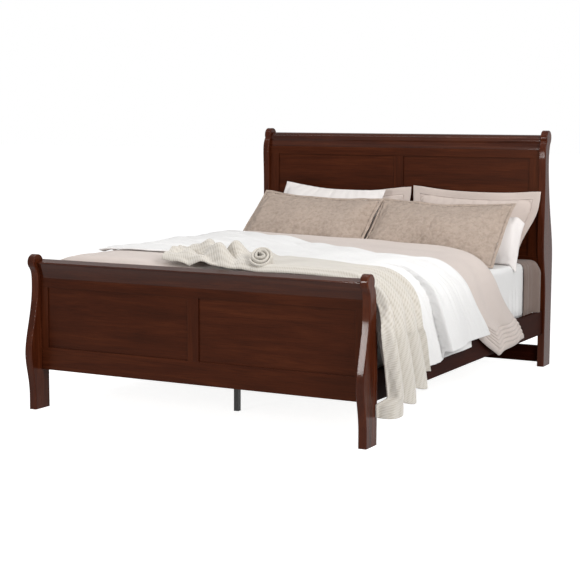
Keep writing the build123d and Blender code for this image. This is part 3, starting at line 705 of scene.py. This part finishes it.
def make_coverlet():
    """Filled coverlet: lies over the bed, hangs on both sides, its right head corner lowest."""
    head = edge_line([
        (-1.3, 0.50), (-0.9, 0.478), (-0.5, 0.468), (0.0, 0.466), (0.25, 0.46), (0.475, 0.42),
        (0.64, 0.355), (0.765, 0.335), (0.895, 0.375), (1.02, 0.515), (1.09, 0.635), (1.17, 0.715),
        (1.3, 0.80),
    ])
    foot = edge_line([
        (-1.3, -0.976), (-0.77, -0.976), (-0.66, foot_tuck_y), (0.66, foot_tuck_y), (0.77, -0.974),
        (1.3, -0.95),
    ])
    hem_shares = [0, 0.64, 0.665, 0.762, 0.775, 1]
    hem_places = [1.05, 1.055, 1.085, 1.209, 1.209, 1.175]
    seam_places = (0.03, 0.052, 0.074, 0.096, 0.118)
    seam_depth = 0.006
    roll_height = 0.016
    dip_depth = 0.008
    rim_radius = 0.05
    left_end = cover.s[0]
    u = stations(1.5, cloth_step, 0.05)[:, None]
    t = np.unique(np.concatenate([stations(2.3, cloth_step, 0.03), np.linspace(0.89, 1, 72)]))[None, :]
    right_end = np.interp(u, hem_shares, hem_places)
    s = left_end + t * (right_end - left_end)
    width = head(s) - foot(s)
    y = foot(s) + u * width

    left_phase = 2 * pi * (u * 13 + 0.35 * waves(u * 3, 0 * u, 1, 11)) + 0 * s
    left_out, left_along = fold_lines(left_phase, depth=0.030, pinch=0.55, pitch=0.115)
    right_phase = 2 * pi * u * 6.5 + 0.8 + 0 * s
    right_out, right_along = fold_lines(right_phase, depth=0.012, pinch=0.3, pitch=0.2)
    depth = side_depth(s)
    on_left = s < 0
    out = np.where(on_left, left_out, right_out) * depth
    along = np.where(on_left, left_along, right_along) * depth * ease(np.minimum(u, 1 - u) * 8)
    seams = stitches(right_end - s - 0.004 * np.sin(u * 40), seam_places, 0.005) * (s > 0)
    roll = bump((1 - u) * width, 0.065, 0.05) * (1 - depth)
    dip = bump(y, blanket_head(s), 0.05) * (1 - depth) * ease((s + 0.9) / 0.3)
    lift = out - seam_depth * seams + roll_height * roll - dip_depth * dip
    outer = cover_surface(s, y + along, lift)
    narrower = [under.s[0] / cover.s[0], 1, under.s[-1] / cover.s[-1]]
    inner = under.place(s * np.interp(s, [left_end, 0, 1.2], narrower), y + along, 0.0)
    inner[..., 2] -= 0.25 * foot_drop(y) * (1 - depth)
    inner[..., 0] += 0.9 * out * depth * np.where(on_left, -1, 1)
    gap = edge_gap(u, width, t, right_end - left_end)
    outer, inner = round_rim(outer, inner, gap, rim_radius, seat=0.25)
    piece = make_shell("coverlet_cloth", outer, inner, np.stack([s, y], -1))
    dress(piece, taupe_cotton, "bedding", "taupe_cotton", "coverlet")


def cloth_layer(name, s, y, u, t, lift, along, thickness, right_end, left_end, width):
    """A thin cloth on the covers from its outer face."""
    rim_radius = 0.004
    outer = cover_surface(s, y + along, lift)
    inner = cover_surface(s, y + along, lift - thickness)
    gap = edge_gap(u, width, t, right_end - left_end)
    outer, inner = round_rim(outer, inner, gap, rim_radius)
    return make_shell(name, outer, inner, np.stack([s, y], -1))


throw_head = edge_line([
    (-0.3, -0.84), (-0.17, -0.80), (-0.08, -0.68), (0.05, -0.62), (0.2, -0.60), (0.46, -0.62),
    (0.68, -0.665), (0.81, -0.675), (0.93, -0.71), (0.975, -0.69), (1.065, -0.66), (1.165, -0.62),
    (1.3, -0.60),
])
throw_foot = edge_line([
    (-0.3, -0.985), (0.6, -0.985), (0.80, -0.986), (0.87, -1.004), (0.93, -1.024), (1.0, -1.016),
    (1.1, -0.993), (1.2, -0.972), (1.3, -0.962),
])
throw_left = -0.19


def blanket_crease(s):
    """Share of the blanket's width at which its crease lies, for each distance across."""
    across = [-0.8, 0.3, 0.615, 0.715, 0.90, 0.985, 1.08, 1.2]
    shares = [0.50, 0.48, 0.47, 0.46, 0.42, 0.40, 0.385, 0.37]
    return np.interp(s, across, shares)


def make_lower_fold():
    """The blanket's lower layer, which shows below its lobes on the right side."""
    length, start, end = 0.36, 0.92, 1.118
    foot_y, slant = -0.40, 0.28
    thickness, seam_depth = 0.006, 0.0012
    rest_lift, swell_height = 0.0085, 0.0024
    u = stations(length, 0.009, 0.006)[:, None]
    t = stations(0.22, 0.009, 0.006)[None, :]
    s = start + t * (end - start) + 0 * u
    y = foot_y + u * length + slant * (s - end)
    lift = rest_lift + swell_height * waves(s, y, 0.2, 37) * ease((s - 1.0) / 0.1)
    lift = lift - seam_depth * stitches(end - s, (0.014, 0.02), 0.0022)
    fold = cloth_layer("blanket_lower_fold", s, y, u, t, lift, 0, thickness, end, start, length)
    return dress(fold, white_cotton, "bedding", "white_cotton")


def make_blanket():
    """White blanket across the bed; down the side it falls in two lobes with a deep crease."""
    left_end, short_end, long_end = -0.72, 1.082, 1.125
    rest_lift, least_lift, lift_under_throw = 0.012, 0.0095, 0.0105
    lobe_height, hollow_depth, lobe_shift = 0.052, 0.004, 0.030
    side_fold, edge_puff, seam_depth, thickness = 0.014, 0.006, 0.0016, 0.008
    u = stations(1.0, 0.008, 0.006)[:, None]
    t = stations(1.85, cloth_step, 0.006)[None, :]
    split = blanket_crease(1.1)
    right_end = long_end - (long_end - short_end) * ease((u - split + 0.004) / 0.008)
    s = left_end + t * (right_end - left_end)
    width = blanket_head(s) - blanket_foot(s)
    y = blanket_foot(s) + u * width
    past = (u - blanket_crease(s)) * width
    reach = ease((s - 0.42) / 0.6)
    lobe = np.sqrt(1 - (1 - np.clip(past / 0.020, 0, 1)) ** 2) * (past > 0)
    lobe = lobe * (1 - 0.75 * ease((past - 0.03) / 0.28))
    hollow = bump(past, -0.012, 0.03) * (past < 0)
    lift = rest_lift + lobe_height * reach * lobe - hollow_depth * reach * hollow
    along = -lobe_shift * reach * bump(past, 0.02, 0.03) * (past > 0)
    depth = side_depth(s)
    side_waves = 0.5 + 0.5 * np.cos(2 * pi * (u * 3.1 + 0.2))
    lift = lift + side_fold * side_waves * depth * (0.4 + 0.6 * ease(-past / 0.1))
    drawn = 0.0058 * waves(s * 0.2, u * 1.2, 0.10, 31) + 0.005 * waves(s * 0.3, u, 0.4, 33)
    lift = lift + np.abs(drawn) * (1 - 0.6 * depth)
    lift = lift + edge_puff * bump((1 - u) * width, 0.02, 0.02)
    lift = lift - seam_depth * stitches(right_end - s, (0.018, 0.024), 0.0022)
    under_throw = ease((throw_head(s) + 0.03 - y) / 0.05) * ease((s - throw_left) / 0.05)
    lift = np.maximum(lift, least_lift) * (1 - under_throw) + lift_under_throw * under_throw
    piece = cloth_layer("blanket_cloth", s, y, u, t, lift, along, thickness, right_end, left_end, width)
    dress(piece, white_cotton, "bedding", "white_cotton", "blanket")
    fold = make_lower_fold()


def cable_knit(s, u):
    """Height of the knitting: twisted ridges down the cloth and fine ribs between them."""
    ridged_width, ridge_pitch = 0.36, 0.045
    ridge_height, rib_height = 0.0022, 0.0008
    twist_pitch, rib_pitch = 0.021, 0.013
    place = u * ridged_width / ridge_pitch
    across = place - np.floor(place)
    ridge = np.clip(np.cos((across - 0.5) * pi * 1.5), 0, 1)
    twist = 0.5 + 0.5 * np.sin(2 * pi * (s / twist_pitch + 1.4 * across))
    ribs = 0.5 + 0.5 * np.sin(2 * pi * (s / rib_pitch + 0.5 * across))
    return ridge_height * ridge * (0.65 + 0.35 * twist) + rib_height * ribs * (1 - ridge)


def throw_folds(s, u):
    """How far the throw stands off the covers, and its shift along the bed, in long uneven folds."""
    rest_lift = 0.021
    depth = side_depth(s, 0.5, 1.0)
    shares = [0, 0.09, 0.24, 0.42, 0.56, 0.76, 0.90, 1]
    turns = [0.5, 1.0, 1.5, 2.0, 2.5, 3.0, 3.5, 3.9]
    phase = 2 * pi * (np.interp(u, shares, turns) + 0.05 * waves(s, 0 * u, 0.5, 41))
    out, along = fold_lines(phase, depth=0.046, pinch=0.72, pitch=0.11)
    ends = ease(np.minimum(u, 1 - u) * 9)
    return rest_lift + out * (0.12 + 0.88 * depth), along * (0.2 + 0.8 * depth) * ends


def make_throw():
    """Cream knitted throw: bunched behind the footboard, falling in long folds by the foot post."""
    u = stations(0.42, 0.0042, 0.006)[:, None]
    t = stations(1.5, 0.0055, 0.008)[None, :]
    longest, hem_wave = 1.262, 0.008
    least_lift, thickness = 0.020, 0.009
    heap_height, twist_height, crumple = 0.022, 0.034, 0.006
    curl_in, curl_back = 0.030, 0.045
    steps = 0.035 * ease((u - 0.15) / 0.16) + 0.04 * ease((u - 0.46) / 0.18) + 0.05 * ease((u - 0.80) / 0.2)
    right_end = longest - steps - hem_wave * np.cos(2 * pi * (u * 2.9 + 0.25))
    s = throw_left + t * (right_end - throw_left)
    width = throw_head(s) - throw_foot(s)
    y = throw_foot(s) + u * width
    lift, along = throw_folds(s, u)
    bunch = ease((0.30 - s) / 0.25)
    heap = bump(y, -0.88, 0.12)
    twists = np.abs(waves(s * 0.55 + y * 1.1, y * 0.7 - s * 0.4, 0.17, 43))
    lift = lift + bunch * heap * (heap_height + twist_height * twists)
    lift = lift + crumple * bunch * waves(s, y, 0.11, 47)
    curl = ease((0.16 - u) / 0.14) * ease((s - 1.185) / 0.03)
    lift = np.maximum(lift, least_lift) + cable_knit(s, u) - curl_in * curl
    along = along - curl_back * curl
    piece = cloth_layer("throw_cloth", s, y, u, t, lift, along, thickness, right_end, throw_left, width)
    dress(piece, cream_knit, "bedding", "cream_knit", "throw")
    return piece


def make_rosette(throw):
    """The throw's end rolled up like a rose, behind the footboard."""
    centre = np.array([0.255, -0.925, 0.695])
    axis = np.array([0.28, -0.62, 0.73])
    axis /= np.linalg.norm(axis)
    right = np.cross(axis, [0, 0, 1])
    right /= np.linalg.norm(right)
    upward = np.cross(right, axis)
    turns = 2.8
    layer = 0.0155
    depth = 0.07
    half_thickness = 0.0058
    first_radius = 0.007
    rim_radius = 0.0065
    t = np.linspace(0, 1, 240)[None, :]
    v = stations(depth, 0.004, 0.008)[:, None]
    angle = 2 * pi * turns * t + 0.9
    radius = first_radius + layer * turns * t + 0.0012 * np.sin(2.3 * angle)
    stand = (v - 0.62) * depth + 0.010 * (1 - t) + 0.003 * np.sin(1.7 * angle) * v
    ribs = 0.0008 * np.sin(2 * pi * t * 60) + 0.0006 * np.sin(2 * pi * v * 6)
    layers = []
    for offset in (half_thickness, -half_thickness):
        reach = radius + offset + ribs * np.sign(offset)
        spin = np.cos(angle)[..., None] * right + np.sin(angle)[..., None] * upward
        layers.append(centre + reach[..., None] * spin + stand[..., None] * axis)
    outer, inner = round_rim(*layers, edge_gap(v, depth, t, 1.0), rim_radius)
    places = np.stack([t + 0 * v, v * depth + 0 * t], -1)
    piece = make_shell("throw_rosette", outer, inner, places)
    dress(piece, cream_knit, "bedding", "cream_knit")


# Pillows


def pillow_mesh(name, width, height, step):
    """Two cloths sewn round their edge, whose sides draw in a little between the corners."""
    first_puff, draw_x, draw_y = 0.03, 0.010, 0.012
    cols = int(width / step) + 1
    rows = int(height / step) + 1
    x, y = np.meshgrid(np.linspace(-1, 1, cols), np.linspace(-1, 1, rows))
    puff = first_puff * np.sqrt(np.maximum((1 - x**2) * (1 - y**2), 0))
    drawn_x = x * width / 2 - draw_x * x**3 * (1 - y**2)
    drawn_y = y * height / 2 - draw_y * y**3 * (1 - x**2)
    front = np.stack([drawn_x, drawn_y, puff], -1)
    back = np.stack([drawn_x, drawn_y, -puff], -1)
    index = np.arange(rows * cols).reshape(rows, cols)
    twin = index + rows * cols
    border = np.ones((rows, cols), bool)
    border[1:-1, 1:-1] = False
    twin[border] = index[border]
    corners = [twin[:-1, :-1], twin[:-1, 1:], twin[1:, 1:], twin[1:, :-1]]
    faces = np.vstack([grid_faces(rows, cols), np.stack(corners, -1).reshape(-1, 4)])
    keep = np.concatenate([np.ones(rows * cols, bool), ~border.ravel()])
    number = np.cumsum(keep) - 1
    points = np.vstack([front.reshape(-1, 3), back.reshape(-1, 3)])[keep]
    places = np.stack([x * width / 2, y * height / 2], -1).reshape(-1, 2)
    return make_object(name, points, number[faces], np.vstack([places, places])[keep]), border_loop(index)


def read_points(mesh, kind="co"):
    """The mesh's points, or another vector of theirs."""
    values = np.zeros(len(mesh.vertices) * 3, np.float32)
    mesh.vertices.foreach_get(kind, values)
    return values.reshape(-1, 3).astype(float)


def write_points(mesh, points):
    mesh.vertices.foreach_set("co", np.asarray(points, np.float32).ravel())
    mesh.update()


def fill_pillow(piece, loop, pressure):
    filled = simulate_filling(piece, loop, pressure)
    write_points(piece.data, filled)


def simulate_filling(piece, loop, pressure):
    """Points of the cloth blown up in a simulation; its seam stays in place, its cloth gives a little."""
    scene = bpy.context.scene
    frames = 30
    seam = piece.vertex_groups.new(name="seam")
    seam.add(loop.tolist(), 1, "REPLACE")
    cloth = piece.modifiers.new("fill", "CLOTH")
    cotton = dict(
        quality=5, mass=0.25, air_damping=5, tension_stiffness=25, compression_stiffness=25,
        shear_stiffness=5, bending_stiffness=5, shrink_min=-0.03, vertex_group_mass="seam",
        use_pressure=True, uniform_pressure_force=pressure,
    )
    for key, value in cotton.items():
        setattr(cloth.settings, key, value)
    cloth.settings.effector_weights.gravity = 0
    cloth.collision_settings.use_collision = False
    cloth.point_cache.frame_end = frames
    for step in range(1, frames + 1):
        scene.frame_set(step)
    filled = read_points(piece.evaluated_get(bpy.context.evaluated_depsgraph_get()).data)
    piece.modifiers.remove(cloth)
    piece.vertex_groups.remove(seam)
    scene.frame_set(1)
    return filled


def refine(piece):
    """Applies a subdivision, so that the mesh is fine enough for its quilting."""
    levels = 1
    smooth = piece.modifiers.new("smooth", "SUBSURF")
    smooth.levels = levels
    smooth.render_levels = levels
    fine = bpy.data.meshes.new_from_object(piece.evaluated_get(bpy.context.evaluated_depsgraph_get()))
    piece.modifiers.remove(smooth)
    old = piece.data
    piece.data = fine
    fine.name = old.name + "_fine"
    bpy.data.meshes.remove(old)


def read_places(mesh):
    """Each point's place on the flat cloth, from the UVs."""
    flat = np.zeros(len(mesh.loops) * 2, np.float32)
    mesh.uv_layers["cloth"].data.foreach_get("uv", flat)
    places = np.zeros((len(mesh.vertices), 2))
    places[corner_points(mesh)] = flat.reshape(-1, 2)
    return places


def quilt(piece, depth, size, seed):
    """Sews wandering lines into a pillow's cloth."""
    places = read_places(piece.data)
    wander = waves(places[:, 0], places[:, 1], size, seed)
    from_edge = np.min(np.abs(places).max(0) - np.abs(places), axis=1)
    seams = stitches(from_edge, (0.026, 0.034), 0.003)
    height = depth * (np.minimum(np.abs(wander) / 0.4, 1) - 0.7 - 0.5 * seams)
    outward = read_points(piece.data, "normal")
    write_points(piece.data, read_points(piece.data) + outward * height[:, None])


def flange(seam, band, wave, seed):
    """A flat double hem sewn round a filled pillow: points, faces and cloth places of a closed band."""
    rings = 9
    thickness = 0.003
    limits = np.abs(seam[:, :2]).max(0)
    reach = np.abs(seam[:, :2]) / limits
    way = np.sign(seam[:, :2]) * (reach > reach.max(1)[:, None] - 0.02)
    run = np.cumsum(np.linalg.norm(np.diff(seam, axis=0, prepend=seam[:1]), axis=1))
    share = np.linspace(-0.12, 1, rings)[:, None]
    ripple = wave * (0.7 * waves(run, 0 * run, 0.16, seed) + 0.5 * waves(run, 0 * run, 0.4, seed + 1))
    out = np.stack([way[:, 0], way[:, 1], 0 * run], -1)
    rows = seam + out * (share * band)[..., None]
    rows[..., 2] += ripple * np.maximum(share, 0) ** 1.3
    stitch = bump(share, 0.16, 0.06) + bump(share, 0.86, 0.05)
    half = thickness / 2 * (1 - 0.45 * stitch) * np.sqrt(np.clip(1.02 - np.maximum(share, 0) ** 8, 0.05, 1))
    lift = np.array([0, 0, 1]) * (half + 0 * run)[..., None]
    points = np.vstack([(rows + lift).reshape(-1, 3), (rows - lift).reshape(-1, 3)])
    count = len(seam)
    faces = twin_faces(rings, count, [np.arange(count), (rings - 1) * count + np.arange(count)], wrap=True)
    return points, faces, np.column_stack([np.tile(run, 2 * rings), points[:, 1]])


def join_mesh(piece, points, faces, places):
    """Adds another closed mesh to a piece."""
    extra = make_object(piece.name + "_band", points, faces, places)
    whole = bmesh.new()
    whole.from_mesh(piece.data)
    whole.from_mesh(extra.data)
    whole.to_mesh(piece.data)
    whole.free()
    old = extra.data
    bpy.data.objects.remove(extra)
    bpy.data.meshes.remove(old)
    piece.data.update()


def slump(points, height, spread, sag, tuck):
    """Lets a leaning pillow settle: it spreads below, its top sags, its right lower corner tucks in."""
    low = ease(0.5 - points[:, 1] / height)
    points = points * np.column_stack([1 + 0.02 * low, np.ones(len(low)), 1 + spread * low])
    half = np.abs(points[:, 0]).max()
    points[:, 1] -= sag * ease(points[:, 1] / height + 0.5) * np.cos(points[:, 0] / half * pi / 2)
    points[:, 0] -= tuck * ease(0.35 - points[:, 1] / height) * ease(points[:, 0] / half)
    return points


def make_pillow(node, body, slot, material, cut, thickness, pressure, lean, roll, shift, seed,
                band=0, quilting=0, sag=0.012, tuck=0, droop=0):
    """One pillow in the place of its CAD solid, resting on the sheet."""
    mesh_step, quilt_size, spread, ripple = 0.0115, 0.034, 0.10, 0.003
    swell_height, clearance = 0.006, 0.003
    width, height = cut
    piece, loop = pillow_mesh(node + "_cloth", width, height, mesh_step)
    fill_pillow(piece, loop, pressure)
    seam = read_points(piece.data)[loop]
    refine(piece)
    if quilting:
        quilt(piece, quilting, quilt_size, seed)
    if band:
        join_mesh(piece, *flange(seam, band, ripple, seed))
    points = slump(read_points(piece.data), height, spread, sag, tuck)
    points[:, 2] += swell_height * waves(points[:, 0], points[:, 1], 0.35, seed + 3)
    low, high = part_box(node)
    spin = Matrix.Rotation(radians(lean), 3, "X") @ Matrix.Rotation(radians(roll), 3, "Z")
    points = points @ np.array(spin).T + np.array((low + high) / 2) + np.array([*shift, 0])
    points[:, 2] += sheet_top + clearance - points[:, 2].min()
    points[:, 2] -= droop * ease((points[:, 0] - sheet_high.x + 0.03) / 0.06)
    write_points(piece.data, points)
    dress(piece, material, body, slot, node)


def make_pillows():
    front = dict(
        slot="sham_quilt", material=sham_quilt, thickness=0.13, pressure=14, lean=42, band=0.012,
        quilting=0.005,
    )
    make_pillow(
        "front_sham_left", "left_sham", cut=(0.69, 0.415), roll=-3.2, shift=(0.018, 0.015), seed=61,
        **front,
    )
    make_pillow(
        "front_sham_right", "right_sham", cut=(0.705, 0.415), roll=-0.8, shift=(-0.014, 0.015), seed=67,
        **front,
    )
    white = dict(body="bedding", slot="white_cotton", material=pillow_cotton)
    make_pillow(
        "white_pillow_left", cut=(0.61, 0.405), thickness=0.116, pressure=12, lean=58.5, roll=-3.5,
        shift=(-0.01, 0), seed=71, **white,
    )
    make_pillow(
        "white_pillow_right", cut=(0.64, 0.27), thickness=0.11, pressure=16, lean=64, roll=-1,
        shift=(0.025, -0.085), seed=73, droop=0.04, **white,
    )
    rear = dict(
        body="bedding", slot="beige_cotton", material=beige_cotton, thickness=0.088, pressure=9, lean=80,
        band=0.035, sag=0.008,
    )
    make_pillow("rear_sham_left", cut=(0.62, 0.265), roll=2, shift=(0.03, 0), seed=79, **rear)
    make_pillow("rear_sham_right", cut=(0.62, 0.285), roll=-1, shift=(0.025, 0), seed=83, tuck=0.10, **rear)


# Stage


def seen_flag(graph):
    """1 for rays from the camera, mirrors and glass, which see a white backdrop, and 0 for other rays."""
    rays = graph.add("LightPath").outputs
    seen = graph.maths("MAXIMUM", rays["Is Camera Ray"], rays["Is Glossy Ray"])
    return graph.maths("MAXIMUM", seen, rays["Is Transmission Ray"])


def make_floor():
    half = 40
    grey = 0.6
    glow = 0.88
    corners = [(-half, -half, 0), (half, -half, 0), (half, half, 0), (-half, half, 0)]
    floor = make_object("floor", corners, [(0, 1, 2, 3)])
    graph = Graph(bpy.data.materials.new("floor"))
    graph.fill(
        graph.shader, Base_Color=(grey, grey, grey, 1), Roughness=0.9, Specular_IOR_Level=0.1,
        Emission_Color=(1, 1, 1, 1), Emission_Strength=graph.maths("MULTIPLY", seen_flag(graph), glow),
    )
    floor.data.materials.append(graph.owner)


def make_world():
    soft_light = 0.28
    world = bpy.data.worlds.new("studio")
    graph = Graph(world, "Background")
    strength = graph.spread(seen_flag(graph), soft_light, 1.0)
    graph.fill(graph.shader, Color=(1, 1, 1, 1), Strength=strength)
    bpy.context.scene.world = world


def softbox(name, place, aim, size, power):
    light = bpy.data.lights.new(name, "AREA")
    light.shape = "RECTANGLE"
    light.size, light.size_y = size
    light.energy = power
    lamp = bpy.data.objects.new(name, light)
    bpy.context.scene.collection.objects.link(lamp)
    look = Vector(place) - Vector(aim)
    lamp.matrix_world = Matrix.Translation(place) @ look.to_track_quat("Z", "Y").to_matrix().to_4x4()


def make_camera():
    data = bpy.data.cameras.new("photo_camera")
    data.sensor_width = sensor_width
    data.lens = camera_focus / picture_side * sensor_width
    camera = bpy.data.objects.new("photo_camera", data)
    bpy.context.scene.collection.objects.link(camera)
    turn = Matrix.Rotation(radians(camera_turn), 4, "Z")
    tilt = Matrix.Rotation(radians(90 - camera_dip), 4, "X")
    roll = Matrix.Rotation(radians(camera_roll), 4, "Z")
    camera.matrix_world = Matrix.Translation(camera_place) @ turn @ tilt @ roll
    bpy.context.scene.camera = camera


finish_frame()
make_mattress_set()
make_fitted_sheet()
make_sheet_tails()
make_coverlet()
make_blanket()
make_rosette(make_throw())
make_pillows()
make_floor()
make_world()
softbox("overhead_softbox", place=(0.4, -0.6, 3.6), aim=(0, 0, 0.4), size=(4.5, 3.6), power=32)
softbox("overhead_strip", place=(-1.2, -0.4, 3.6), aim=(-1.2, -0.4, 0), size=(4.2, 0.14), power=28)
softbox("right_softbox", place=(4.4, -2.2, 3.0), aim=(0.4, 0, 0.5), size=(2.2, 2.4), power=176)
softbox("front_fill", place=(-2.2, -5.2, 2.0), aim=(0, 0, 0.4), size=(2.5, 2.0), power=5)
softbox("front_strip", place=(-0.95, -4.65, 1.45), aim=(0.8, -1.0, 0.9), size=(0.20, 1.2), power=48)
make_camera()
bpy.context.scene.view_settings.view_transform = "Standard"
